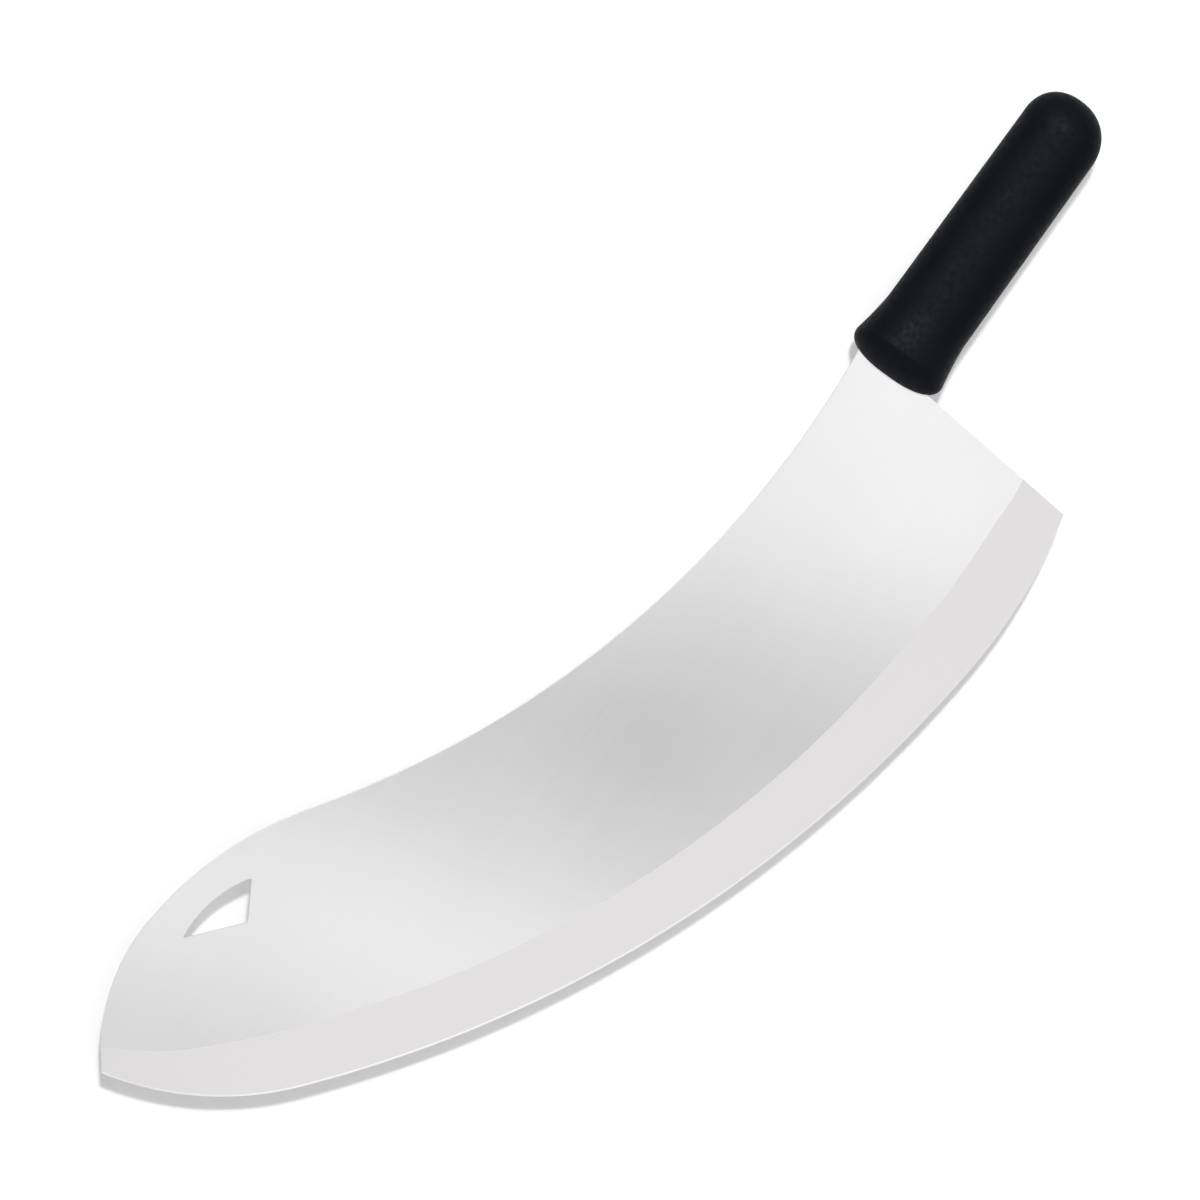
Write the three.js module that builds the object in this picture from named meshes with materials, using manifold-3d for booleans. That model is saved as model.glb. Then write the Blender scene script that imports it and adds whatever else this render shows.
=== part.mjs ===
// Mincing knife: a broad curved steel blade with a hanging eye near its nose, and a moulded handle on a tang.
// Millimetres. The knife lies on its side, blade level: +X to the nose, +Y to the cutting edge, +Z up.
// Outlines are drawn from the middle of the handle's front end with the blade's middle plane at zero height.
// The finished group is then moved so that its origin lies under the middle of its box.
import * as THREE from "three";
import { mergeVertices } from "three/addons/utils/BufferGeometryUtils.js";
import Module from "manifold-3d";

// Blade plate and its ground edge
const BLADE_THICKNESS = 3;
const SPINE_CHAMFER = 0.4;
const HONE_WIDTH = 0.8;
const HONE_THICKNESS = 0.8;
const EDGE_THICKNESS = 0.2;

// Width of the ground bevel at shares of the way from heel to nose
const BEVEL_SHARES = [0, 0.05, 0.12, 0.3, 0.55, 0.82, 0.86, 0.9, 0.95, 0.98, 1];
const BEVEL_WIDTHS = [21.8, 25, 26.4, 24.3, 23.1, 24.4, 24.2, 21.9, 17.6, 14.2, 10.9];

// Spine: its start inside the handle's front end, its heading in degrees from the handle's axis, then arcs
const ROOT_DEPTH = 6.5;
const NECK_OFFSET = 15.8;
const SPINE_HEADING = 6.7;
const SPINE_HOLLOW_RADIUS = 409;
const SPINE_HOLLOW_LENGTH = 295.4;
const SPINE_HUMP_RADIUS = 151;
const SPINE_HUMP_LENGTH = 83.7;
const SPINE_BROW_RADIUS = 79;
const SPINE_BROW_LENGTH = 51;

// Nose: the short straight end between spine and edge, bent from the spine's last heading, and its corner
const NOSE_LENGTH = 11.7;
const NOSE_BEND = 3.4;
const NOSE_CORNER = 113.8;

// Edge: its heel corner, its heading, an arc at the heel, then a belly arc and a nose arc that join smoothly.
// The belly's reach runs from its start to where the tangents of its two ends cross.
const HEEL_FORWARD = 3.6;
const HEEL_OFFSET = 89.9;
const EDGE_HEADING = 14.8;
const EDGE_HEEL_RADIUS = 206;
const EDGE_HEEL_LENGTH = 69.3;
const EDGE_BELLY_REACH = 167.1;

// Hanging eye: an arched side along the spine and one lower corner, placed back from the spine's end,
// with its rim eased on both faces
const EYE_SETBACK = 78;
const EYE_INSET = 12.9;
const EYE_WIDTH = 36.2;
const EYE_RISE = 3.3;
const EYE_DEPTH = 15.4;
const EYE_SKEW = 5.5;
const EYE_CORNER_RADIUS = 0.8;
const EYE_EASING = 0.3;

// Tang: flat, tapering, round at its end, with holes that the core fills, and the core's cover behind it
const TANG_COVER = 32;
const TANG_ROOT_WIDTH = 20;
const TANG_END_WIDTH = 15;
const TANG_HOLE_COUNT = 3;
const TANG_HOLE_DIAMETER = 7;
const TANG_HOLE_FRONT = 30;
const TANG_HOLE_MARGIN = 15;

// Grip: full widths and thicknesses at the collar, behind its flare and at the butt.
// The collar's front rounds off its sides and, further back, falls from a crest on its upper and lower faces.
// The rounded butt leans to the spine's side.
const HANDLE_LENGTH = 134.8;
const COLLAR_WIDTH = 41.8;
const COLLAR_THICKNESS = 31;
const WAIST_WIDTH = 36.9;
const WAIST_THICKNESS = 26.5;
const BUTT_WIDTH = 35;
const BUTT_THICKNESS = 25.4;
const FRONT_DOME = 9;
const FRONT_FULLNESS = 2.4;
const CREST_SETBACK = 11.3;
const CREST_FULLNESS = 1.7;
const FLARE_LENGTH = 19;
const FLARE_POWER = 1.5;
const BUTT_DOME = 17.5;
const BUTT_FULLNESS = 2.2;
const BUTT_LEAN = 1.3;
const SECTION_FULLNESS = 2.25;

// Core: set in from the grip's surface, with rings that key the grip
const SKIN_THICKNESS = 4.5;
const CORE_FRONT = 11;
const CORE_DOME = 11;
const RING_COUNT = 7;
const RING_WIDTH = 6;
const RING_DRAFT = 0.6;
const GROOVE_DEPTH = 1.4;

// Clearance between two pieces, on each side
const FIT_CLEARANCE = 0.3;

// Fineness of the curves
const BLADE_STEPS = 108;
const EYE_STEPS = 10;
const ROUND_STEPS = 24;
const SECTION_STEPS = 48;
const DOME_STEPS = 11;
const CREST_STEPS = 3;
const FLARE_STEPS = 8;
const TAPER_STEPS = 6;
const MERGE_DISTANCE = 1e-4;

const LEFT = 1;
const RIGHT = -1;

const wasm = await Module();
wasm.setup();

function solidOf(geometry) {
  const bare = geometry.clone();
  bare.deleteAttribute("normal");
  bare.deleteAttribute("uv");
  const merged = mergeVertices(bare, MERGE_DISTANCE);
  const vertProperties = merged.attributes.position.array;
  const triVerts = new Uint32Array(merged.index.array);
  return new wasm.Manifold(new wasm.Mesh({ numProp: 3, vertProperties, triVerts }));
}

function geometryOf(solid) {
  const mesh = solid.getMesh();
  const geometry = new THREE.BufferGeometry();
  geometry.setAttribute("position", new THREE.BufferAttribute(mesh.vertProperties, 3));
  geometry.setIndex(new THREE.BufferAttribute(mesh.triVerts, 1));
  geometry.computeVertexNormals();
  return geometry;
}

// Closed body through rings of equally many points, shut at each end by a fan round one point
function loft(rings, firstPole, lastPole) {
  const count = rings[0].length;
  const points = [...rings.flat(), firstPole, lastPole];
  const first = points.length - 2;
  const last = points.length - 1;
  const index = [];
  for (let i = 0; i < count; i += 1) {
    const next = (i + 1) % count;
    index.push(first, next, i);
    for (let ring = 0; ring < rings.length - 1; ring += 1) {
      const here = ring * count;
      const there = here + count;
      index.push(here + i, here + next, there + next);
      index.push(here + i, there + next, there + i);
    }
    const end = (rings.length - 1) * count;
    index.push(last, end + i, end + next);
  }
  const geometry = new THREE.BufferGeometry().setFromPoints(points);
  geometry.setIndex(index);
  return solidOf(geometry);
}

// Plate of an outline, centred on the blade's middle plane
function plate(shape, thickness, curveSegments) {
  const settings = { depth: thickness, bevelEnabled: false, curveSegments };
  const geometry = new THREE.ExtrudeGeometry(shape, settings);
  geometry.translate(0, 0, -thickness / 2);
  return solidOf(geometry);
}

// Counter-clockwise outline moved outwards by a distance
function grown(outline, distance) {
  return outline.map((point, i) => {
    const before = point.clone().sub(outline.at(i - 1)).normalize();
    const after = outline[(i + 1) % outline.length].clone().sub(point).normalize();
    const outwards = new THREE.Vector2(before.y + after.y, -before.x - after.x);
    return point.clone().addScaledVector(outwards, distance / (1 + before.dot(after)));
  });
}

// Path of arcs, each tangent to the one before
function arcChain(start, headingDegrees, arcs) {
  const path = new THREE.Path();
  let point = start;
  let heading = THREE.MathUtils.degToRad(headingDegrees);
  for (const { turn, radius, length } of arcs) {
    const towardsCentre = heading + turn * Math.PI / 2;
    const centre = point.clone().add(polar(radius, towardsCentre));
    const from = towardsCentre + Math.PI;
    const to = from + turn * length / radius;
    path.add(new THREE.ArcCurve(centre.x, centre.y, radius, from, to, turn === RIGHT));
    point = centre.clone().add(polar(radius, to));
    heading += turn * length / radius;
  }
  return { path, point, heading };
}

function polar(distance, angle) {
  return new THREE.Vector2(distance * Math.cos(angle), distance * Math.sin(angle));
}

// The one arc that leaves a chain's end along its heading, turns right and meets a point
function arcTo(chain, target) {
  const across = target.clone().sub(chain.point);
  const towardsCentre = polar(1, chain.heading + RIGHT * Math.PI / 2);
  const radius = across.lengthSq() / (2 * across.dot(towardsCentre));
  const length = 2 * radius * Math.asin(across.length() / (2 * radius));
  return { turn: RIGHT, radius, length };
}

// Where two arcs meet that leave a chain's end along its heading and reach a point along another heading,
// when the first arc's end tangents cross at a given reach
function arcJoint(chain, reach, target, targetHeading) {
  const across = target.clone().sub(chain.point);
  const leaving = polar(1, chain.heading);
  const arriving = polar(1, targetHeading);
  const over = across.lengthSq() / 2 - reach * across.dot(leaving);
  const lastReach = over / (across.dot(arriving) - reach * (leaving.dot(arriving) - 1));
  const firstCorner = chain.point.clone().addScaledVector(leaving, reach);
  const lastCorner = target.clone().addScaledVector(arriving, -lastReach);
  return firstCorner.lerp(lastCorner, reach / (reach + lastReach));
}

// Blade outlines
const spineStart = new THREE.Vector2(-ROOT_DEPTH, -NECK_OFFSET);
const heelCorner = new THREE.Vector2(HEEL_FORWARD, HEEL_OFFSET);
const spine = arcChain(spineStart, SPINE_HEADING, [
  { turn: RIGHT, radius: SPINE_HOLLOW_RADIUS, length: SPINE_HOLLOW_LENGTH },
  { turn: LEFT, radius: SPINE_HUMP_RADIUS, length: SPINE_HUMP_LENGTH },
  { turn: LEFT, radius: SPINE_BROW_RADIUS, length: SPINE_BROW_LENGTH },
]);
const noseHeading = spine.heading + THREE.MathUtils.degToRad(NOSE_BEND);
const noseTip = spine.point.clone().add(polar(NOSE_LENGTH, noseHeading));
const tipHeading = noseHeading - THREE.MathUtils.degToRad(NOSE_CORNER);
const edgeArcs = [{ turn: RIGHT, radius: EDGE_HEEL_RADIUS, length: EDGE_HEEL_LENGTH }];
const heelChain = arcChain(heelCorner, EDGE_HEADING, edgeArcs);
const bellyEnd = arcJoint(heelChain, EDGE_BELLY_REACH, noseTip, tipHeading);
edgeArcs.push(arcTo(heelChain, bellyEnd));
const bellyChain = arcChain(heelCorner, EDGE_HEADING, edgeArcs);
edgeArcs.push(arcTo(bellyChain, noseTip));
const edge = arcChain(heelCorner, EDGE_HEADING, edgeArcs);
const bevelWidths = new THREE.CubicInterpolant(BEVEL_SHARES, BEVEL_WIDTHS, 1);

// Blade section at a share of the way from heel to nose, from the edge up one side and back down the other
function bladeRing(share) {
  const onSpine = spine.path.getPoint(share);
  const onEdge = edge.path.getPoint(share);
  const width = onSpine.distanceTo(onEdge);
  const bevel = Math.min(bevelWidths.evaluate(share)[0], width - 2 * SPINE_CHAMFER);
  const half = BLADE_THICKNESS / 2;
  const profile = [
    [0, EDGE_THICKNESS / 2],
    [HONE_WIDTH, HONE_THICKNESS / 2],
    [bevel, half],
    [width - SPINE_CHAMFER, half],
    [width, half - SPINE_CHAMFER],
  ];
  const back = profile.map(([across, height]) => [across, -height]).reverse();
  return [...profile, ...back].map(([across, height]) => {
    const point = onEdge.clone().lerp(onSpine, across / width);
    return new THREE.Vector3(point.x, point.y, height);
  });
}

function ringMiddle(ring) {
  const sum = ring.reduce((total, point) => total.add(point), new THREE.Vector3());
  return sum.divideScalar(ring.length);
}

function bladeBody() {
  const rings = [];
  for (let step = 0; step <= BLADE_STEPS; step += 1) {
    rings.push(bladeRing(step / BLADE_STEPS));
  }
  return loft(rings, ringMiddle(rings[0]), ringMiddle(rings.at(-1)));
}

// Eye outline in the spine's own frame: along the spine towards the nose, and inwards from it.
// An arched side ends in two corners, two straight sides meet in the third, and each corner is rounded.
function eyeShape() {
  const share = 1 - EYE_SETBACK / spine.path.getLength();
  const origin = spine.path.getPoint(share);
  const along = spine.path.getTangent(share);
  const inwards = new THREE.Vector2(-along.y, along.x);
  const place = (forward, depth) => {
    return origin.clone().addScaledVector(along, forward).addScaledVector(inwards, depth);
  };
  const half = EYE_WIDTH / 2;
  const archHalf = half - EYE_CORNER_RADIUS;
  const archRise = EYE_RISE * (archHalf / half) ** 2;
  const archTop = place(0, EYE_INSET - archRise);
  const archRear = place(-archHalf, EYE_INSET + archRise);
  const archFront = place(archHalf, EYE_INSET + archRise);
  const rear = place(-half, EYE_INSET + EYE_RISE);
  const front = place(half, EYE_INSET + EYE_RISE);
  const low = place(-EYE_SKEW, EYE_INSET + EYE_DEPTH);
  const leave = (corner, towards) => {
    return corner.clone().add(towards.clone().sub(corner).setLength(EYE_CORNER_RADIUS));
  };
  const shape = new THREE.Shape();
  shape.moveTo(archRear.x, archRear.y);
  shape.quadraticCurveTo(archTop.x, archTop.y, archFront.x, archFront.y);
  shape.quadraticCurveTo(front.x, front.y, ...leave(front, low));
  shape.lineTo(...leave(low, front));
  shape.quadraticCurveTo(low.x, low.y, ...leave(low, rear));
  shape.lineTo(...leave(rear, low));
  shape.quadraticCurveTo(rear.x, rear.y, archRear.x, archRear.y);
  return shape;
}

// Cutter for the eye, wider towards both faces of the blade, so that the rim is eased
function eyeCutter() {
  const outline = eyeShape().getPoints(EYE_STEPS).slice(1);
  const half = BLADE_THICKNESS / 2;
  const levels = [
    [-half - EYE_EASING, 2 * EYE_EASING],
    [-half + EYE_EASING, 0],
    [half - EYE_EASING, 0],
    [half + EYE_EASING, 2 * EYE_EASING],
  ];
  const rings = levels.map(([height, wider]) => {
    return grown(outline, wider).map((point) => new THREE.Vector3(point.x, point.y, height));
  });
  return loft(rings, ringMiddle(rings[0]), ringMiddle(rings.at(-1)));
}

// Tang outline grown by a clearance, running forwards into the blade's root
function tangShape(grow) {
  const rootHalf = TANG_ROOT_WIDTH / 2 + grow;
  const endHalf = TANG_END_WIDTH / 2 + grow;
  const tangEnd = HANDLE_LENGTH - SKIN_THICKNESS - TANG_COVER;
  const endCentre = TANG_END_WIDTH / 2 - tangEnd;
  const shape = new THREE.Shape();
  shape.moveTo(ROOT_DEPTH, -rootHalf);
  shape.lineTo(ROOT_DEPTH, rootHalf);
  shape.lineTo(endCentre, endHalf);
  shape.absarc(endCentre, 0, endHalf, Math.PI / 2, 3 * Math.PI / 2, false);
  shape.closePath();
  for (let hole = 0; hole < TANG_HOLE_COUNT; hole += 1) {
    const way = hole / (TANG_HOLE_COUNT - 1);
    const centre = -THREE.MathUtils.lerp(TANG_HOLE_FRONT, tangEnd - TANG_HOLE_MARGIN, way);
    const round = new THREE.Path();
    round.absarc(centre, 0, TANG_HOLE_DIAMETER / 2 - grow, 0, 2 * Math.PI, true);
    shape.holes.push(round);
  }
  return shape;
}

function tang(grow) {
  return plate(tangShape(grow), BLADE_THICKNESS + 2 * grow, ROUND_STEPS);
}

// The blade's root where the grip closes round it, grown by a clearance and reaching forwards past the grip
function rootPlate(grow) {
  const heading = THREE.MathUtils.degToRad(SPINE_HEADING);
  const corners = [
    spineStart,
    spineStart.clone().add(polar(COLLAR_WIDTH, heading)),
    heelCorner.clone().setX(COLLAR_WIDTH),
    heelCorner,
  ];
  return plate(new THREE.Shape(grown(corners, grow)), BLADE_THICKNESS + 2 * grow, 1);
}

// Rounded end: rises from nothing at share zero to the full size at share one
function dome(share, fullness) {
  const inside = THREE.MathUtils.clamp(1 - share, 0, 1);
  return Math.pow(1 - Math.pow(inside, fullness), 1 / fullness);
}

// The grip's sizes across it, and how far and how fully its front rounds off that way
const gripWidths = {
  collar: COLLAR_WIDTH,
  waist: WAIST_WIDTH,
  butt: BUTT_WIDTH,
  frontDome: FRONT_DOME,
  frontFullness: FRONT_FULLNESS,
};
const gripThicknesses = {
  collar: COLLAR_THICKNESS,
  waist: WAIST_THICKNESS,
  butt: BUTT_THICKNESS,
  frontDome: CREST_SETBACK,
  frontFullness: CREST_FULLNESS,
};

// Half a size of the grip at a distance behind its front end, first without its flare and rounded ends
function taperHalf(behind, sizes) {
  return THREE.MathUtils.mapLinear(behind, sizes.frontDome, HANDLE_LENGTH, sizes.waist, sizes.butt) / 2;
}

function gripHalf(behind, sizes) {
  const flareShare = THREE.MathUtils.clamp((behind - sizes.frontDome) / FLARE_LENGTH, 0, 1);
  const flare = Math.pow(1 - flareShare, FLARE_POWER) * (sizes.collar - sizes.waist) / 2;
  const front = dome(behind / sizes.frontDome, sizes.frontFullness);
  const rear = dome((HANDLE_LENGTH - behind) / BUTT_DOME, BUTT_FULLNESS);
  return (taperHalf(behind, sizes) + flare) * front * rear;
}

// Oval section across the handle, its middle moved to the spine's side
function ovalRing(behind, halfWidth, halfThickness, aside) {
  const ring = [];
  const power = 2 / SECTION_FULLNESS;
  for (let step = 0; step < SECTION_STEPS; step += 1) {
    const angle = 2 * Math.PI * step / SECTION_STEPS;
    const across = Math.sign(Math.cos(angle)) * Math.pow(Math.abs(Math.cos(angle)), power);
    const up = Math.sign(Math.sin(angle)) * Math.pow(Math.abs(Math.sin(angle)), power);
    ring.push(new THREE.Vector3(-behind, halfWidth * across - aside, halfThickness * up));
  }
  return ring.reverse();
}

function gripBody() {
  const places = [];
  const quarter = Math.PI / 2;
  const flareEnd = CREST_SETBACK + FLARE_LENGTH;
  const buttStart = HANDLE_LENGTH - BUTT_DOME;
  for (let step = 1; step <= DOME_STEPS; step += 1) {
    places.push(FRONT_DOME * (1 - Math.cos(quarter * step / DOME_STEPS)));
  }
  for (let step = 1; step < CREST_STEPS; step += 1) {
    places.push(THREE.MathUtils.lerp(FRONT_DOME, CREST_SETBACK, step / CREST_STEPS));
  }
  for (let step = 0; step <= FLARE_STEPS; step += 1) {
    places.push(CREST_SETBACK + FLARE_LENGTH * step / FLARE_STEPS);
  }
  for (let step = 1; step <= TAPER_STEPS; step += 1) {
    places.push(THREE.MathUtils.lerp(flareEnd, buttStart, step / TAPER_STEPS));
  }
  for (let step = 1; step < DOME_STEPS; step += 1) {
    places.push(buttStart + BUTT_DOME * Math.sin(quarter * step / DOME_STEPS));
  }
  const rings = places.map((behind) => {
    const halfWidth = gripHalf(behind, gripWidths);
    const halfThickness = gripHalf(behind, gripThicknesses);
    const aside = BUTT_LEAN * Math.max(0, (behind - buttStart) / BUTT_DOME);
    return ovalRing(behind, halfWidth, halfThickness, aside);
  });
  return loft(rings, new THREE.Vector3(), new THREE.Vector3(-HANDLE_LENGTH, -BUTT_LEAN, 0));
}

// Ringed core with a rounded end, grown by a clearance
function coreBody(grow) {
  const rings = [];
  const coreEnd = HANDLE_LENGTH - SKIN_THICKNESS;
  const lastRing = coreEnd - CORE_DOME - RING_WIDTH;
  const add = (behind, depth, share) => {
    const inset = SKIN_THICKNESS + depth - grow;
    const halfWidth = taperHalf(behind, gripWidths) - inset;
    const halfThickness = taperHalf(behind, gripThicknesses) - inset;
    rings.push(ovalRing(behind, halfWidth * share, halfThickness * share, 0));
  };
  for (let ring = 0; ring < RING_COUNT; ring += 1) {
    const start = THREE.MathUtils.lerp(CORE_FRONT, lastRing, ring / (RING_COUNT - 1)) - grow;
    const end = start + RING_WIDTH + 2 * grow;
    if (ring > 0) {
      add(start - RING_DRAFT, GROOVE_DEPTH, 1);
    }
    add(start, 0, 1);
    add(end, 0, 1);
    if (ring < RING_COUNT - 1) {
      add(end + RING_DRAFT, GROOVE_DEPTH, 1);
    }
  }
  const domeStart = lastRing + RING_WIDTH + grow;
  for (let step = 1; step < DOME_STEPS; step += 1) {
    const way = Math.PI / 2 * step / DOME_STEPS;
    add(domeStart + CORE_DOME * Math.sin(way), 0, Math.cos(way));
  }
  const frontPole = new THREE.Vector3(grow - CORE_FRONT, 0, 0);
  return loft(rings, frontPole, new THREE.Vector3(-domeStart - CORE_DOME, 0, 0));
}

// The three pieces
const bladeSolid = bladeBody().add(tang(0)).subtract(eyeCutter());
const bladeSeat = rootPlate(FIT_CLEARANCE).add(tang(FIT_CLEARANCE));
const coreSolid = coreBody(0).subtract(bladeSeat);
const gripSolid = gripBody().subtract(coreBody(FIT_CLEARANCE)).subtract(bladeSeat);

const steel = new THREE.MeshStandardMaterial({ color: 0xcfd0d2, metalness: 1, roughness: 0.3 });
const coreMaterial = new THREE.MeshStandardMaterial({ color: 0x35383c, metalness: 0, roughness: 0.6 });
const gripMaterial = new THREE.MeshStandardMaterial({ color: 0x14171a, metalness: 0, roughness: 0.5 });

const knife = new THREE.Group();
knife.name = "mincing_knife";
const pieces = [
  ["blade", bladeSolid, steel],
  ["handle_core", coreSolid, coreMaterial],
  ["handle_grip", gripSolid, gripMaterial],
];
for (const [name, solid, material] of pieces) {
  const mesh = new THREE.Mesh(geometryOf(solid), material);
  mesh.name = name;
  knife.add(mesh);
}

const box = new THREE.Box3().setFromObject(knife);
const middle = box.getCenter(new THREE.Vector3());
for (const mesh of knife.children) {
  mesh.geometry.translate(-middle.x, -middle.y, -box.min.z);
}

export default knife;
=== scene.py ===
"""Looks of the mincing knife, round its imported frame.

The scene is in metres. The knife's own sizes are in millimetres and degrees, and are those of its solids.
"""

import math

import bmesh
import bpy
from mathutils import Matrix, Vector


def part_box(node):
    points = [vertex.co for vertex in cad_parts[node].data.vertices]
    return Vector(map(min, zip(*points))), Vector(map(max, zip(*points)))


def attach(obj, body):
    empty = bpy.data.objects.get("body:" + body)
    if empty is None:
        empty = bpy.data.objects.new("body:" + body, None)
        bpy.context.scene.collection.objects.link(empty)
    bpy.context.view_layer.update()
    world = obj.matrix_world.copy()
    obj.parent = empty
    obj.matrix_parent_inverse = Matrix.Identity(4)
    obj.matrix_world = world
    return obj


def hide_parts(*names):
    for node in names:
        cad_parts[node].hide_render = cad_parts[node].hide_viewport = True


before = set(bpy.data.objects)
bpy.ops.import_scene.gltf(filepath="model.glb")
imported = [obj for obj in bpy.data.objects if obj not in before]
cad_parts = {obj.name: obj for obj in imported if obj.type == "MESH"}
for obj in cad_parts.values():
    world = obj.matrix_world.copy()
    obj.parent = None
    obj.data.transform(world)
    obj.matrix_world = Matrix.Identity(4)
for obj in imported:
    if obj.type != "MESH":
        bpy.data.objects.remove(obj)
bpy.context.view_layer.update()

MM_PER_M = 1000

# Blade plate and its ground edge
BLADE_THICKNESS = 3
SPINE_ROUND = 0.4
HONE_WIDTH = 0.8
HONE_THICKNESS = 0.8
EDGE_THICKNESS = 0.2

# Width of the ground bevel at shares of the way from heel to nose
BEVEL_SHARES = (0, 0.05, 0.12, 0.3, 0.55, 0.82, 0.86, 0.9, 0.95, 0.98, 1)
BEVEL_WIDTHS = (21.8, 25, 26.4, 24.3, 23.1, 24.4, 24.2, 21.9, 17.6, 14.2, 10.9)

# Blade's outline: headings are from the handle's axis, and an arc is its turn, its radius and its length
LEFT = 1
RIGHT = -1
ROOT_DEPTH = 6.5
NECK_OFFSET = 15.8
SPINE_HEADING = 6.7
SPINE_ARCS = ((RIGHT, 409, 295.4), (LEFT, 151, 83.7), (LEFT, 79, 51))
NOSE_LENGTH = 11.7
NOSE_BEND = 3.4
NOSE_CORNER = 113.8
HEEL_FORWARD = 3.6
HEEL_OFFSET = 89.9
EDGE_HEADING = 14.8
EDGE_HEEL_ARC = (RIGHT, 206, 69.3)
EDGE_BELLY_REACH = 167.1

# Hanging eye
EYE_SETBACK = 78
EYE_INSET = 12.9
EYE_WIDTH = 36.2
EYE_RISE = 3.3
EYE_DEPTH = 15.4
EYE_SKEW = 5.5
EYE_CORNER = 0.8
EYE_EASING = 0.3

# Tang, with its holes and the core's cover behind it
TANG_ROOT_WIDTH = 20
TANG_END_WIDTH = 15
TANG_COVER = 32
TANG_HOLE_DIAMETER = 7
TANG_HOLE_COUNT = 3
TANG_HOLE_FRONT = 30
TANG_HOLE_MARGIN = 15

# Grip; a pair holds one value for its width and one for its thickness
WIDTH = 0
THICKNESS = 1
HANDLE_LENGTH = 134.8
COLLAR = (41.8, 31)
WAIST = (36.9, 26.5)
BUTT = (35, 25.4)
FRONT_DOME = (9, 11.3)
FRONT_FULLNESS = (2.4, 1.7)
FLARE_LENGTH = 19
FLARE_POWER = 1.5
BUTT_DOME = 17.5
BUTT_FULLNESS = 2.2
BUTT_LEAN = 1.3
SECTION_FULLNESS = 2.25

# Core, set in from the grip's surface, with rings that key the grip
SKIN_THICKNESS = 4.5
CORE_FRONT = 11
CORE_DOME = 11
RING_COUNT = 7
RING_WIDTH = 6
RING_DRAFT = 0.6
GROOVE_DEPTH = 1.4

# Clearance between two pieces, and how far a cutter runs past the faces that it cuts
FIT_CLEARANCE = 0.3
CUT_PAST = 1

# Fineness of the curves
BLADE_STEPS = 300
ROUND_STEPS = 3
EYE_ARCH_STEPS = 24
EYE_CORNER_STEPS = 6
TANG_END_STEPS = 24
TANG_HOLE_STEPS = 40
SECTION_STEPS = 120
DOME_STEPS = 26
CREST_STEPS = 12
FLARE_STEPS = 24
TAPER_STEPS = 30
CORE_SECTION_STEPS = 48
CORE_DOME_STEPS = 12

# Where a surface turns by more than this, its shading has a sharp line
BLADE_SHARP_TURN = 40
GRIP_SHARP_TURN = 35

# Points nearer to each other than this, in metres, are one
MERGE_DISTANCE = 1e-6

# Photograph: its width, its middle from the handle's front end, the handle's direction in it, and its camera
PHOTO_WIDTH = 480
PHOTO_MIDDLE = (139.655, -40.649)
HANDLE_IN_PHOTO = (-0.584647, 0.811287)
CAMERA_HEIGHT = 4000
SENSOR_WIDTH = 36

grip_low, grip_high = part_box("handle_grip")
blade_low, blade_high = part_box("blade")
ORIGIN = Vector((
    grip_low.x + HANDLE_LENGTH / MM_PER_M,
    (grip_low.y + grip_high.y) / 2,
    (blade_low.z + blade_high.z) / 2,
))


def placed(point):
    """A point in the frame, from millimetres off the middle of the handle's front end."""
    return ORIGIN + Vector(point) / MM_PER_M


def new_object(name, points, faces):
    mesh = bpy.data.meshes.new(name)
    mesh.from_pydata([placed(p) for p in points], [], faces)
    shell = bmesh.new()
    shell.from_mesh(mesh)
    bmesh.ops.recalc_face_normals(shell, faces=shell.faces)
    shell.to_mesh(mesh)
    shell.free()
    made = bpy.data.objects.new(name, mesh)
    bpy.context.scene.collection.objects.link(made)
    return made


def loft(name, rings):
    """Closed body through rings of equally many points, shut by a face at each end."""
    count = len(rings[0])
    points = [p for ring in rings for p in ring]
    faces = [tuple(range(count))]
    for ring in range(len(rings) - 1):
        for i in range(count):
            here = ring * count
            following = (i + 1) % count
            faces.append((here + following, here + i, here + count + i, here + count + following))
    faces.append(tuple(range(len(points) - 1, len(points) - count - 1, -1)))
    return new_object(name, points, faces)


def plate(name, outline, thickness):
    levels = (-thickness / 2, thickness / 2)
    return loft(name, [[(p.x, p.y, height) for p in outline] for height in levels])


def combine(target, other, operation):
    """Joins or cuts target with other, which is used up."""
    modifier = target.modifiers.new(operation, "BOOLEAN")
    modifier.object = other
    modifier.operation = operation
    modifier.solver = "EXACT"
    graph = bpy.context.evaluated_depsgraph_get()
    mesh = bpy.data.meshes.new_from_object(
        target.evaluated_get(graph), preserve_all_data_layers=True, depsgraph=graph)
    target.modifiers.clear()
    target.data = mesh
    bpy.data.objects.remove(other)


# Outlines of the blade


def polar(distance, angle):
    return Vector((distance * math.cos(angle), distance * math.sin(angle)))


def pushed_out(outline, distance):
    """An outline with every side moved outwards by a distance."""
    moved = []
    for i, point in enumerate(outline):
        before = (point - outline[i - 1]).normalized()
        after = (outline[(i + 1) % len(outline)] - point).normalized()
        outwards = Vector((before.y + after.y, -before.x - after.x))
        moved.append(point + outwards * (distance / (1 + before.dot(after))))
    return moved


def arc_chain(start, heading, arcs):
    """Arcs in a row, each tangent to the one before: where they end, their heading there and their length."""
    placed_arcs = []
    point = start
    for turn, radius, length in arcs:
        towards_centre = heading + turn * math.pi / 2
        centre = point + polar(radius, towards_centre)
        sweep = turn * length / radius
        placed_arcs.append((centre, radius, towards_centre + math.pi, sweep, length))
        point = centre + polar(radius, towards_centre + math.pi + sweep)
        heading += sweep
    return {
        "arcs": placed_arcs,
        "point": point,
        "heading": heading,
        "length": sum(length for _, _, length in arcs),
    }


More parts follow.
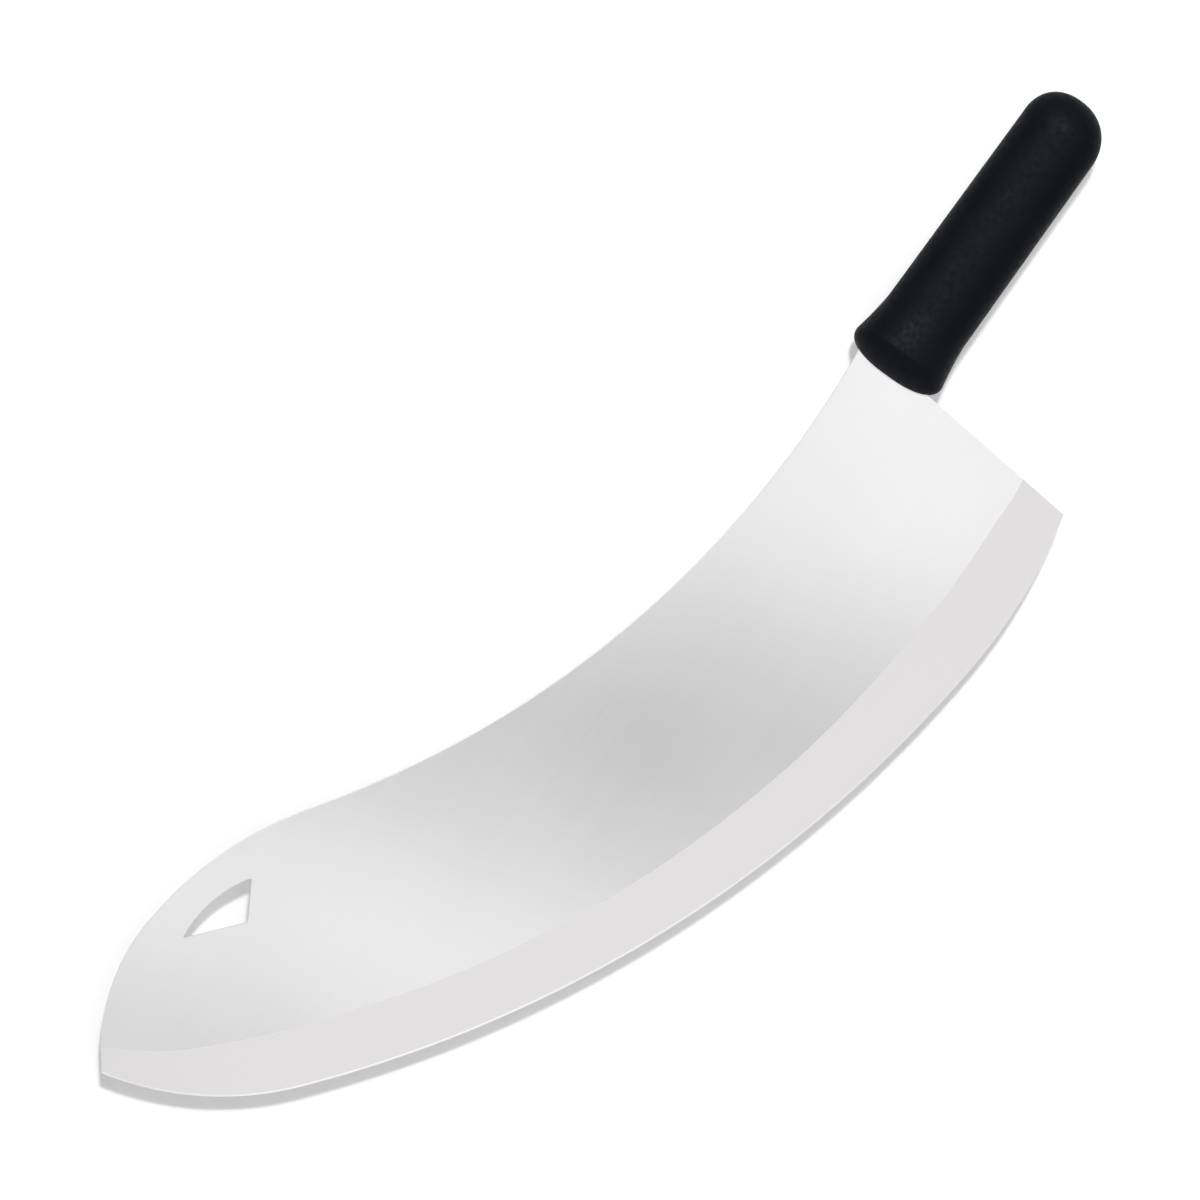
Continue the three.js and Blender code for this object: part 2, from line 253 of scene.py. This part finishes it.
def along_chain(chain, share):
    """Point of a chain and its heading at a share of its length."""
    left = share * chain["length"]
    last = len(chain["arcs"]) - 1
    for i, (centre, radius, start, sweep, length) in enumerate(chain["arcs"]):
        if left <= length or i == last:
            angle = start + sweep * left / length
            return centre + polar(radius, angle), angle + math.copysign(math.pi / 2, sweep)
        left -= length


def arc_to(chain, target):
    """The arc that leaves a chain's end along its heading, turns right and meets a point."""
    across = target - chain["point"]
    towards_centre = polar(1, chain["heading"] - math.pi / 2)
    radius = across.length_squared / (2 * across.dot(towards_centre))
    return (RIGHT, radius, 2 * radius * math.asin(across.length / (2 * radius)))


def arc_joint(chain, reach, target, target_heading):
    """Where two arcs meet that go from a chain's end to a point and keep the headings at both ends."""
    across = target - chain["point"]
    leaving = polar(1, chain["heading"])
    arriving = polar(1, target_heading)
    over = across.length_squared / 2 - reach * across.dot(leaving)
    last_reach = over / (across.dot(arriving) - reach * (leaving.dot(arriving) - 1))
    first_corner = chain["point"] + leaving * reach
    last_corner = target - arriving * last_reach
    return first_corner.lerp(last_corner, reach / (reach + last_reach))


spine_start = Vector((-ROOT_DEPTH, -NECK_OFFSET))
heel_corner = Vector((HEEL_FORWARD, HEEL_OFFSET))
spine = arc_chain(spine_start, math.radians(SPINE_HEADING), SPINE_ARCS)
nose_heading = spine["heading"] + math.radians(NOSE_BEND)
nose_tip = spine["point"] + polar(NOSE_LENGTH, nose_heading)
edge_arcs = [EDGE_HEEL_ARC]
heel_chain = arc_chain(heel_corner, math.radians(EDGE_HEADING), edge_arcs)
belly_end = arc_joint(heel_chain, EDGE_BELLY_REACH, nose_tip, nose_heading - math.radians(NOSE_CORNER))
edge_arcs.append(arc_to(heel_chain, belly_end))
edge_arcs.append(arc_to(arc_chain(heel_corner, math.radians(EDGE_HEADING), edge_arcs), nose_tip))
edge = arc_chain(heel_corner, math.radians(EDGE_HEADING), edge_arcs)


def bevel_width(share):
    """Width of the ground bevel at a share of the way from heel to nose: a smooth curve through the knots."""
    last = len(BEVEL_SHARES) - 1
    i = next(k for k in range(last) if share <= BEVEL_SHARES[k + 1])

    def slope(k):
        if k in (0, last):
            return 0
        before = (BEVEL_WIDTHS[k] - BEVEL_WIDTHS[k - 1]) / (BEVEL_SHARES[k] - BEVEL_SHARES[k - 1])
        after = (BEVEL_WIDTHS[k + 1] - BEVEL_WIDTHS[k]) / (BEVEL_SHARES[k + 1] - BEVEL_SHARES[k])
        return (before + after) / 2

    span = BEVEL_SHARES[i + 1] - BEVEL_SHARES[i]
    t = (share - BEVEL_SHARES[i]) / span
    return (
        (2 * t ** 3 - 3 * t ** 2 + 1) * BEVEL_WIDTHS[i]
        + (t ** 3 - 2 * t ** 2 + t) * span * slope(i)
        + (3 * t ** 2 - 2 * t ** 3) * BEVEL_WIDTHS[i + 1]
        + (t ** 3 - t ** 2) * span * slope(i + 1)
    )


def eye_outline(grow):
    """Points round the eye, pushed outwards by a distance."""
    origin, heading = along_chain(spine, 1 - EYE_SETBACK / spine["length"])
    along = polar(1, heading)
    inwards = polar(1, heading + math.pi / 2)
    half = EYE_WIDTH / 2

    def place(forward, depth):
        return origin + along * forward + inwards * depth

    def bend(a, b, c, steps):
        return [
            a * (1 - t) ** 2 + b * 2 * t * (1 - t) + c * t ** 2
            for t in (k / steps for k in range(steps))
        ]

    def leave(corner, towards):
        return corner + (towards - corner).normalized() * EYE_CORNER

    arch_half = half - EYE_CORNER
    arch_rise = EYE_RISE * (arch_half / half) ** 2
    arch_rear = place(-arch_half, EYE_INSET + arch_rise)
    arch_top = place(0, EYE_INSET - arch_rise)
    arch_front = place(arch_half, EYE_INSET + arch_rise)
    rear = place(-half, EYE_INSET + EYE_RISE)
    front = place(half, EYE_INSET + EYE_RISE)
    low = place(-EYE_SKEW, EYE_INSET + EYE_DEPTH)
    outline = bend(arch_rear, arch_top, arch_front, EYE_ARCH_STEPS)
    outline += bend(arch_front, front, leave(front, low), EYE_CORNER_STEPS)
    outline.append(leave(front, low))
    outline += bend(leave(low, front), low, leave(low, rear), EYE_CORNER_STEPS)
    outline.append(leave(low, rear))
    outline += bend(leave(rear, low), rear, arch_rear, EYE_CORNER_STEPS)
    return pushed_out(outline, grow)


# Blade


def blade_profile(width, bevel):
    """Across from the edge and up from the middle plane, on the upper face."""
    half = BLADE_THICKNESS / 2
    profile = [(0, EDGE_THICKNESS / 2), (HONE_WIDTH, HONE_THICKNESS / 2), (bevel, half)]
    for step in range(ROUND_STEPS + 1):
        turn = math.pi / 2 * step / ROUND_STEPS
        across = width - SPINE_ROUND + SPINE_ROUND * math.sin(turn)
        profile.append((across, half - SPINE_ROUND + SPINE_ROUND * math.cos(turn)))
    return profile


def blade_body():
    """Blade without its eye and tang. Its UV map grind holds metres along the edge and across from it."""
    rings = []
    grinds = []
    for step in range(BLADE_STEPS + 1):
        share = step / BLADE_STEPS
        on_spine, _ = along_chain(spine, share)
        on_edge, _ = along_chain(edge, share)
        width = (on_spine - on_edge).length
        upper = blade_profile(width, min(bevel_width(share), width - 2 * SPINE_ROUND))
        section = upper + [(across, -height) for across, height in reversed(upper)]
        ring = []
        for across, height in section:
            point = on_edge.lerp(on_spine, across / width)
            ring.append((point.x, point.y, height))
            grinds.append((share * edge["length"] / MM_PER_M, across / MM_PER_M))
        rings.append(ring)
    body = loft("blade_steel", rings)
    layer = body.data.uv_layers.new(name="grind")
    for loop in body.data.loops:
        layer.data[loop.index].uv = grinds[loop.vertex_index]
    return body


def eye_cutter():
    """Cutter with flared ends, so that the eye's rims come out eased."""
    half = BLADE_THICKNESS / 2
    levels = (
        (-half - CUT_PAST, EYE_EASING + CUT_PAST),
        (-half + EYE_EASING, 0),
        (half - EYE_EASING, 0),
        (half + CUT_PAST, EYE_EASING + CUT_PAST),
    )
    rings = [[(p.x, p.y, height) for p in eye_outline(grow)] for height, grow in levels]
    return loft("eye_cutter", rings)


def tang_body(grow):
    """Tang grown by a clearance, from its round end forwards into the blade's root."""
    root_half = TANG_ROOT_WIDTH / 2 + grow
    end_half = TANG_END_WIDTH / 2 + grow
    tang_end = HANDLE_LENGTH - SKIN_THICKNESS - TANG_COVER
    end_centre = Vector((TANG_END_WIDTH / 2 - tang_end, 0))
    outline = [Vector((ROOT_DEPTH, -root_half)), Vector((ROOT_DEPTH, root_half))]
    for step in range(TANG_END_STEPS + 1):
        outline.append(end_centre + polar(end_half, math.pi * (0.5 + step / TANG_END_STEPS)))
    thickness = BLADE_THICKNESS + 2 * grow
    body = plate("tang", outline, thickness)
    for hole in range(TANG_HOLE_COUNT):
        way = hole / (TANG_HOLE_COUNT - 1)
        middle = Vector((-TANG_HOLE_FRONT * (1 - way) - (tang_end - TANG_HOLE_MARGIN) * way, 0))
        radius = TANG_HOLE_DIAMETER / 2 - grow
        turns = [math.tau * k / TANG_HOLE_STEPS for k in range(TANG_HOLE_STEPS)]
        circle = [middle + polar(radius, turn) for turn in turns]
        combine(body, plate("tang_hole", circle, thickness + 2 * CUT_PAST), "DIFFERENCE")
    return body


# Finishes of the blade's faces, and how level a face of the hone or the bevel is at least
FLAT, BEVEL, HONE, SIDE = range(4)
HONE_LEVEL = 0.9
BEVEL_LEVEL = 0.98


def mark_zones(body):
    """Names each face's finish in the attribute zone, and keeps the lines between finishes sharp."""
    mesh = body.data
    shell = bmesh.new()
    shell.from_mesh(mesh)
    bmesh.ops.remove_doubles(shell, verts=shell.verts, dist=MERGE_DISTANCE)
    bmesh.ops.dissolve_degenerate(shell, edges=shell.edges, dist=MERGE_DISTANCE)
    shell.to_mesh(mesh)
    shell.free()
    grind = mesh.uv_layers["grind"].data
    face_height = BLADE_THICKNESS / 2 / MM_PER_M - MERGE_DISTANCE
    zones = []
    for polygon in mesh.polygons:
        across = sum(grind[i].uv.y for i in polygon.loop_indices) / polygon.loop_total * MM_PER_M
        level = abs(polygon.normal.z)
        if all(abs(mesh.vertices[v].co.z - ORIGIN.z) > face_height for v in polygon.vertices):
            zones.append(FLAT)
        elif level > HONE_LEVEL and across < HONE_WIDTH:
            zones.append(HONE)
        elif level > BEVEL_LEVEL:
            zones.append(BEVEL)
        else:
            zones.append(SIDE)
    attribute = mesh.attributes.new("zone", "FLOAT", "FACE")
    attribute.data.foreach_set("value", [float(z) for z in zones])
    faces_of = {}
    for polygon in mesh.polygons:
        for key in polygon.edge_keys:
            faces_of.setdefault(key, []).append(polygon)
    for line in mesh.edges:
        faces = faces_of[line.key]
        kinds = {zones[f.index] for f in faces}
        turn = faces[0].normal.angle(faces[-1].normal, 0)
        line.use_edge_sharp = len(kinds) > 1 or turn > math.radians(BLADE_SHARP_TURN)
    mesh.shade_smooth()


blade = blade_body()
combine(blade, eye_cutter(), "DIFFERENCE")
combine(blade, tang_body(0), "UNION")
mark_zones(blade)

# Grip


def dome(share, fullness):
    inside = min(max(1 - share, 0), 1)
    return (1 - inside ** fullness) ** (1 / fullness)


def taper_half(behind, side):
    """Half the grip's width or thickness without its flare and rounded ends."""
    way = (behind - FRONT_DOME[side]) / (HANDLE_LENGTH - FRONT_DOME[side])
    return (WAIST[side] + (BUTT[side] - WAIST[side]) * way) / 2


def grip_half(behind, side):
    """Half the grip's width or thickness at a distance behind its front end."""
    flare_share = min(max((behind - FRONT_DOME[side]) / FLARE_LENGTH, 0), 1)
    flare = (COLLAR[side] - WAIST[side]) / 2 * (1 - flare_share) ** FLARE_POWER
    front = dome(behind / FRONT_DOME[side], FRONT_FULLNESS[side])
    rear = dome((HANDLE_LENGTH - behind) / BUTT_DOME, BUTT_FULLNESS)
    return (taper_half(behind, side) + flare) * front * rear


def oval_ring(behind, half_width, half_thickness, steps, aside=0):
    """Oval section across the handle, its middle moved to the spine's side."""
    power = 2 / SECTION_FULLNESS
    ring = []
    for step in range(steps):
        turn = math.radians(360 * step / steps)
        across = math.copysign(abs(math.cos(turn)) ** power, math.cos(turn))
        up = math.copysign(abs(math.sin(turn)) ** power, math.sin(turn))
        ring.append((-behind, half_width * across - aside, half_thickness * up))
    return ring


def grip_body():
    """Grip before its hollow is cut, through sections from its front end to its butt."""
    widest, crest = FRONT_DOME
    straight = crest + FLARE_LENGTH
    butt = HANDLE_LENGTH - BUTT_DOME
    dome_turns = [math.pi / 2 * k / DOME_STEPS for k in range(1, DOME_STEPS + 1)]
    places = [widest * (1 - math.cos(turn)) for turn in dome_turns]
    places += [widest + (crest - widest) * k / CREST_STEPS for k in range(1, CREST_STEPS + 1)]
    places += [crest + FLARE_LENGTH * k / FLARE_STEPS for k in range(1, FLARE_STEPS + 1)]
    places += [straight + (butt - straight) * k / TAPER_STEPS for k in range(1, TAPER_STEPS + 1)]
    places += [butt + BUTT_DOME * math.sin(turn) for turn in dome_turns[:-1]]
    rings = []
    for behind in places:
        aside = BUTT_LEAN * max(0, (behind - butt) / BUTT_DOME)
        halves = [grip_half(behind, side) for side in (WIDTH, THICKNESS)]
        rings.append(oval_ring(behind, *halves, SECTION_STEPS, aside))
    return loft("grip", rings)


def core_body(grow):
    """Ringed core with a rounded end, grown by a clearance."""
    rings = []
    last_ring = HANDLE_LENGTH - SKIN_THICKNESS - CORE_DOME - RING_WIDTH

    def add(behind, depth, share):
        halves = [taper_half(behind, side) - SKIN_THICKNESS - depth + grow for side in (WIDTH, THICKNESS)]
        rings.append(oval_ring(behind, halves[0] * share, halves[1] * share, CORE_SECTION_STEPS))

    for ring in range(RING_COUNT):
        start = CORE_FRONT + (last_ring - CORE_FRONT) * ring / (RING_COUNT - 1) - grow
        end = start + RING_WIDTH + 2 * grow
        if ring > 0:
            add(start - RING_DRAFT, GROOVE_DEPTH, 1)
        add(start, 0, 1)
        add(end, 0, 1)
        if ring < RING_COUNT - 1:
            add(end + RING_DRAFT, GROOVE_DEPTH, 1)
    dome_start = last_ring + RING_WIDTH + grow
    for step in range(1, CORE_DOME_STEPS):
        way = math.pi / 2 * step / CORE_DOME_STEPS
        add(dome_start + CORE_DOME * math.sin(way), 0, math.cos(way))
    return loft("core", rings)


def blade_seat():
    """The blade's root, grown by the clearance, that the grip closes round."""
    corners = [
        spine_start,
        spine_start + polar(COLLAR[WIDTH], math.radians(SPINE_HEADING)),
        Vector((COLLAR[WIDTH], HEEL_OFFSET)),
        heel_corner,
    ]
    return plate("seat", pushed_out(corners, FIT_CLEARANCE), BLADE_THICKNESS + 2 * FIT_CLEARANCE)


grip = grip_body()
combine(grip, core_body(FIT_CLEARANCE), "DIFFERENCE")
combine(grip, blade_seat(), "DIFFERENCE")
combine(grip, tang_body(FIT_CLEARANCE), "DIFFERENCE")
grip.data.shade_smooth()
grip.data.set_sharp_from_angle(angle=math.radians(GRIP_SHARP_TURN))

# Materials

# Most of a noise's values lie between these two
NOISE_LOW = 0.3
NOISE_HIGH = 0.7


def new_material(name):
    material = bpy.data.materials.new(name)
    material.use_nodes = True
    return material


def coordinates(tree, kind):
    return tree.nodes.new("ShaderNodeTexCoord").outputs[kind]


def noise(tree, vector, scale, detail):
    node = tree.nodes.new("ShaderNodeTexNoise")
    node.inputs["Scale"].default_value = scale
    node.inputs["Detail"].default_value = detail
    tree.links.new(vector, node.inputs["Vector"])
    return node.outputs["Fac"]


def stretched(tree, vector, scale):
    node = tree.nodes.new("ShaderNodeMapping")
    node.inputs["Scale"].default_value = scale
    tree.links.new(vector, node.inputs["Vector"])
    return node.outputs["Vector"]


def worked_out(tree, operation, a, b):
    """Result of a calculation with two values, each of which is a number or comes from a node."""
    node = tree.nodes.new("ShaderNodeMath")
    node.operation = operation
    for socket, value in zip(node.inputs, (a, b)):
        if isinstance(value, (int, float)):
            socket.default_value = value
        else:
            tree.links.new(value, socket)
    return node.outputs["Value"]


def mapped(tree, value, low, high, start=NOISE_LOW, end=NOISE_HIGH):
    """A value that runs from start to end, made to run from low to high."""
    node = tree.nodes.new("ShaderNodeMapRange")
    node.inputs["From Min"].default_value = start
    node.inputs["From Max"].default_value = end
    node.inputs["To Min"].default_value = low
    node.inputs["To Max"].default_value = high
    tree.links.new(value, node.inputs["Value"])
    return node.outputs["Result"]


def varied(tree, value, pattern, reach):
    """A value made larger and smaller by a pattern, up to a reach each way."""
    return worked_out(tree, "ADD", value, mapped(tree, pattern, -reach, reach))


def grey_ramp(tree, place, interpolation, stops):
    """Grey levels at places from 0 to 1; the first stop is at 0."""
    ramp = tree.nodes.new("ShaderNodeValToRGB")
    ramp.color_ramp.interpolation = interpolation
    marks = ramp.color_ramp.elements
    marks.remove(marks[1])
    for i, (position, level) in enumerate(stops):
        mark = marks.new(position) if i > 0 else marks[0]
        mark.color = (level, level, level, 1)
    tree.links.new(place, ramp.inputs["Fac"])
    return ramp.outputs["Color"]


def by_zone(tree, zone, values):
    """One number for each finish of the blade, picked by the zone attribute."""
    stops = [(i / len(values), value) for i, value in enumerate(values)]
    return grey_ramp(tree, worked_out(tree, "DIVIDE", zone, len(values)), "CONSTANT", stops)


def add_relief(tree, shader, height, strength, depth):
    """Bumps on a shader, of a depth in metres."""
    bump = tree.nodes.new("ShaderNodeBump")
    bump.inputs["Strength"].default_value = strength
    bump.inputs["Distance"].default_value = depth
    tree.links.new(height, bump.inputs["Height"])
    tree.links.new(bump.outputs["Normal"], shader.inputs["Normal"])


# Finish of the blade's flat, bevel, hone and sides. The levels are one steel's colour, set apart for each
# face so that it renders as light or dark as wanted: painted shade on the bevel, painted highlight on the
# hone and the sides
STEEL_LEVELS_WITH_PAINTED_LIGHT = {
    "Red": (0.762, 0.692, 0.95, 0.82),
    "Green": (0.758, 0.680, 0.94, 0.815),
    "Blue": (0.760, 0.686, 0.95, 0.82),
}
STEEL_ROUGHNESS = (0.2, 0.8, 0.5, 0.45)
STEEL_GROUND = (0, 1, 1, 0)

# Grain's fineness to a metre: rolled along the handle's axis, and ground across the edge
ROLLED_GRAIN = (14, 3200, 3200)
GROUND_GRAIN = (2600, 45, 1)


def steel_material():
    material = new_material("ground_steel")
    tree = material.node_tree
    links = tree.links
    shader = tree.nodes["Principled BSDF"]
    shader.inputs["Metallic"].default_value = 1
    where = coordinates(tree, "Object")
    grind = tree.nodes.new("ShaderNodeUVMap")
    grind.uv_map = "grind"
    attribute = tree.nodes.new("ShaderNodeAttribute")
    attribute.attribute_name = "zone"
    # Half a step up, so that each zone's number lies inside its stretch of a ramp
    zone = worked_out(tree, "ADD", attribute.outputs["Fac"], 0.5)

    rolled = noise(tree, stretched(tree, where, ROLLED_GRAIN), scale=1, detail=3)
    ground = noise(tree, stretched(tree, grind.outputs["UV"], GROUND_GRAIN), scale=1, detail=3)
    cloud = noise(tree, where, scale=9, detail=2)
    choice = tree.nodes.new("ShaderNodeMix")
    links.new(by_zone(tree, zone, STEEL_GROUND), choice.inputs["Factor"])
    links.new(rolled, choice.inputs["A"])
    links.new(ground, choice.inputs["B"])
    grain = choice.outputs["Result"]

    grain_tone = mapped(tree, grain, low=0.992, high=1.008)
    cloud_tone = mapped(tree, cloud, low=0.992, high=1.008)
    tone = worked_out(tree, "MULTIPLY", grain_tone, cloud_tone)
    colour = tree.nodes.new("ShaderNodeCombineColor")
    # Each face's colour is the steel's tone with its painted shade or painted highlight
    for channel, levels in STEEL_LEVELS_WITH_PAINTED_LIGHT.items():
        level = by_zone(tree, zone, levels)
        links.new(worked_out(tree, "MULTIPLY", tone, level), colour.inputs[channel])
    links.new(colour.outputs["Color"], shader.inputs["Base Color"])

    rough = by_zone(tree, zone, STEEL_ROUGHNESS)
    rough = varied(tree, rough, grain, reach=0.006)
    rough = varied(tree, rough, cloud, reach=0.01)
    links.new(rough, shader.inputs["Roughness"])
    add_relief(tree, shader, grain, strength=0.15, depth=0.00002)
    return material


def plastic_material(name, dark, light, gloss, roughness, depth):
    """Moulded plastic: clouds between two colours, and a fine texture of a depth in metres."""
    material = new_material(name)
    tree = material.node_tree
    links = tree.links
    shader = tree.nodes["Principled BSDF"]
    shader.inputs["Specular IOR Level"].default_value = gloss
    where = coordinates(tree, "Object")
    fine = noise(tree, where, scale=1500, detail=4)
    grain = noise(tree, where, scale=450, detail=2)
    cloud = noise(tree, where, scale=60, detail=3)
    blend = tree.nodes.new("ShaderNodeMix")
    blend.data_type = "RGBA"
    links.new(mapped(tree, cloud, low=0, high=1), blend.inputs["Factor"])
    blend.inputs["A"].default_value = (*dark, 1)
    blend.inputs["B"].default_value = (*light, 1)
    links.new(blend.outputs["Result"], shader.inputs["Base Color"])
    rough = mapped(tree, fine, low=roughness - 0.05, high=roughness + 0.05)
    rough = varied(tree, rough, grain, reach=0.09)
    rough = varied(tree, rough, cloud, reach=0.04)
    links.new(rough, shader.inputs["Roughness"])
    add_relief(tree, shader, fine, strength=0.35, depth=depth)
    return material


def textured_black():
    return plastic_material(
        "textured_black",
        dark=(0.0012, 0.0024, 0.0050),
        light=(0.0020, 0.0036, 0.0066),
        gloss=0.085,
        roughness=0.56,
        depth=0.0001,
    )


def moulded_core():
    return plastic_material(
        "moulded_core",
        dark=(0.050, 0.054, 0.058),
        light=(0.066, 0.070, 0.075),
        gloss=0.4,
        roughness=0.6,
        depth=0.00003,
    )


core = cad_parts["handle_core"]
for piece, material in ((blade, steel_material()), (grip, textured_black()), (core, moulded_core())):
    piece.data.materials.clear()
    piece.data.materials.append(material)

for piece, node, slot in ((blade, "blade", "steel"), (grip, "handle_grip", "grip_plastic")):
    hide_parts(node)
    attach(piece, "root")

# Camera, straight down on the blade, turned as the photograph is
image_right = Vector((HANDLE_IN_PHOTO[0], HANDLE_IN_PHOTO[1], 0))
image_up = Vector((-HANDLE_IN_PHOTO[1], HANDLE_IN_PHOTO[0], 0))
image_middle = placed((*PHOTO_MIDDLE, 0))


def level_frame(x_axis, y_axis, height):
    """Place of a thing that lies level over the photograph's middle, turned to two level axes."""
    return Matrix((
        (x_axis.x, y_axis.x, 0, image_middle.x),
        (x_axis.y, y_axis.y, 0, image_middle.y),
        (0, 0, 1, image_middle.z + height),
        (0, 0, 0, 1),
    ))


camera_data = bpy.data.cameras.new("camera")
camera_data.sensor_width = SENSOR_WIDTH
camera_data.lens = SENSOR_WIDTH * CAMERA_HEIGHT / PHOTO_WIDTH
camera = bpy.data.objects.new("camera", camera_data)
camera.matrix_world = level_frame(image_right, image_up, CAMERA_HEIGHT / MM_PER_M)
bpy.context.scene.collection.objects.link(camera)
bpy.context.scene.camera = camera


def background_rays(tree):
    """One for rays that show the background, straight or mirrored, and nothing for rays of light."""
    rays = tree.nodes.new("ShaderNodeLightPath").outputs
    seen = worked_out(tree, "MAXIMUM", rays["Is Camera Ray"], rays["Is Glossy Ray"])
    return worked_out(tree, "MAXIMUM", seen, rays["Is Transmission Ray"])


# Floor, with its middle under the belly of the blade. Its glow is light painted on the floor where it is
# seen: least under the belly, where the blade's shadow falls, and growing outwards as the lamps' light falls
# off, which pales the shade round the handle
FLOOR_MIDDLE = (0.1, 0.05, 0)
FLOOR_REACH = 12
FLOOR_LIT_LEVEL = 0.3
FLOOR_SHOWN_LEVEL = 0.82
GLOW_NEAR = 0.235
GLOW_FAR = 0.47
GLOW_GROWTH = (0.16, 0.6)


def floor_material():
    material = new_material("floor")
    tree = material.node_tree
    links = tree.links
    shader = tree.nodes["Principled BSDF"]
    shader.inputs["Roughness"].default_value = 0.9
    shader.inputs["Specular IOR Level"].default_value = 0.1
    shader.inputs["Emission Color"].default_value = (1, 1, 1, 1)
    shown = background_rays(tree)
    level = mapped(tree, shown, FLOOR_LIT_LEVEL, FLOOR_SHOWN_LEVEL, start=0, end=1)
    links.new(level, shader.inputs["Base Color"])
    from_middle = tree.nodes.new("ShaderNodeVectorMath")
    from_middle.operation = "LENGTH"
    links.new(coordinates(tree, "Object"), from_middle.inputs[0])
    glow = mapped(tree, from_middle.outputs["Value"], GLOW_NEAR, GLOW_FAR, *GLOW_GROWTH)
    links.new(worked_out(tree, "MULTIPLY", shown, glow), shader.inputs["Emission Strength"])
    return material


def new_sheet(name, corners, material):
    """Flat sheet with four corners."""
    mesh = bpy.data.meshes.new(name)
    mesh.from_pydata([(x, y, 0) for x, y in corners], [], [(0, 1, 2, 3)])
    mesh.materials.append(material)
    sheet = bpy.data.objects.new(name, mesh)
    bpy.context.scene.collection.objects.link(sheet)
    return sheet


floor_corners = [(x * FLOOR_REACH, y * FLOOR_REACH) for x, y in ((-1, -1), (1, -1), (1, 1), (-1, 1))]
floor = new_sheet("floor", floor_corners, floor_material())
floor.location = FLOOR_MIDDLE

# Light: an overhead diffuser that is brighter at the handle and near the nose, a card past the nose that only
# steel mirrors, a soft key and a pale room. The cards are laid out along and across the light's slope: a stop
# is a place along it and the glow there.
LIGHT_SLOPE = (0.9295, 0.3690, 0)
DIFFUSER_HEIGHT = 0.45
DIFFUSER_CORNERS = ((-0.50, -0.23), (-0.50, 0.47), (0.50, 0.47), (0.50, -0.23))
DIFFUSER_STOPS = (
    (-0.50, 0.70), (-0.30, 0.85), (-0.104, 0.97), (-0.051, 0.945), (0.005, 0.675), (0.049, 0.51),
    (0.099, 0.667), (0.167, 1.03), (0.245, 0.70), (0.281, 0.72), (0.368, 1.0), (0.50, 1.4),
)
NOSE_CARD_HEIGHT = 0.46
NOSE_CARD_CORNERS = ((0.05, -0.25), (0.05, 0.47), (0.80, 0.47), (0.80, -0.58))
NOSE_CARD_STOPS = ((0.05, 1.05), (0.80, 1.05))
KEY_ENERGY = 1.9
KEY_ANGLE = 6
KEY_LEAN_UP = 0.4
KEY_LEAN_RIGHT = 0.11
ROOM_LIGHT = 0.12
ROOM_LOW_LEVEL = 1
ROOM_HIGH_LEVEL = 0.35
ROOM_FADE = (0.17, 0.45)


def glow_material(name, stops):
    """Light that changes along a card, at the given levels."""
    material = new_material(name)
    tree = material.node_tree
    tree.nodes.remove(tree.nodes["Principled BSDF"])
    place = tree.nodes.new("ShaderNodeSeparateXYZ")
    tree.links.new(coordinates(tree, "Generated"), place.inputs["Vector"])
    first, last = stops[0][0], stops[-1][0]
    shares = [((along - first) / (last - first), level) for along, level in stops]
    emission = tree.nodes.new("ShaderNodeEmission")
    tree.links.new(grey_ramp(tree, place.outputs["X"], "EASE", shares), emission.inputs["Color"])
    tree.links.new(emission.outputs["Emission"], tree.nodes["Material Output"].inputs["Surface"])
    return material


def glowing_card(name, height, corners, stops):
    """Card over the knife that glows at the given levels along the light's slope."""
    card = new_sheet(name, corners, glow_material(name, stops))
    along = Vector(LIGHT_SLOPE).normalized()
    across = Vector((-along.y, along.x, 0))
    card.matrix_world = level_frame(along, across, height)
    card.visible_camera = False
    card.visible_shadow = False
    return card


glowing_card("diffuser", DIFFUSER_HEIGHT, DIFFUSER_CORNERS, DIFFUSER_STOPS)
nose_card = glowing_card("nose_card", NOSE_CARD_HEIGHT, NOSE_CARD_CORNERS, NOSE_CARD_STOPS)
nose_card.visible_diffuse = False

key_data = bpy.data.lights.new("key", "SUN")
key_data.energy = KEY_ENERGY
key_data.angle = math.radians(KEY_ANGLE)
key = bpy.data.objects.new("key", key_data)
towards_key = image_up * KEY_LEAN_UP + image_right * KEY_LEAN_RIGHT + Vector((0, 0, 1))
key.rotation_mode = "QUATERNION"
key.rotation_quaternion = towards_key.to_track_quat("Z", "Y")
bpy.context.scene.collection.objects.link(key)

room = bpy.data.worlds.new("room")
room.use_nodes = True
bpy.context.scene.world = room
room_tree = room.node_tree
direction = room_tree.nodes.new("ShaderNodeSeparateXYZ")
room_tree.links.new(coordinates(room_tree, "Generated"), direction.inputs["Vector"])
room_shown = mapped(room_tree, direction.outputs["Z"], ROOM_LOW_LEVEL, ROOM_HIGH_LEVEL, *ROOM_FADE)
strength = room_tree.nodes.new("ShaderNodeMix")
strength.inputs["A"].default_value = ROOM_LIGHT
room_tree.links.new(background_rays(room_tree), strength.inputs["Factor"])
room_tree.links.new(room_shown, strength.inputs["B"])
background = room_tree.nodes["Background"]
background.inputs["Color"].default_value = (1, 1, 1, 1)
room_tree.links.new(strength.outputs["Result"], background.inputs["Strength"])

bpy.context.scene.view_settings.view_transform = "Standard"
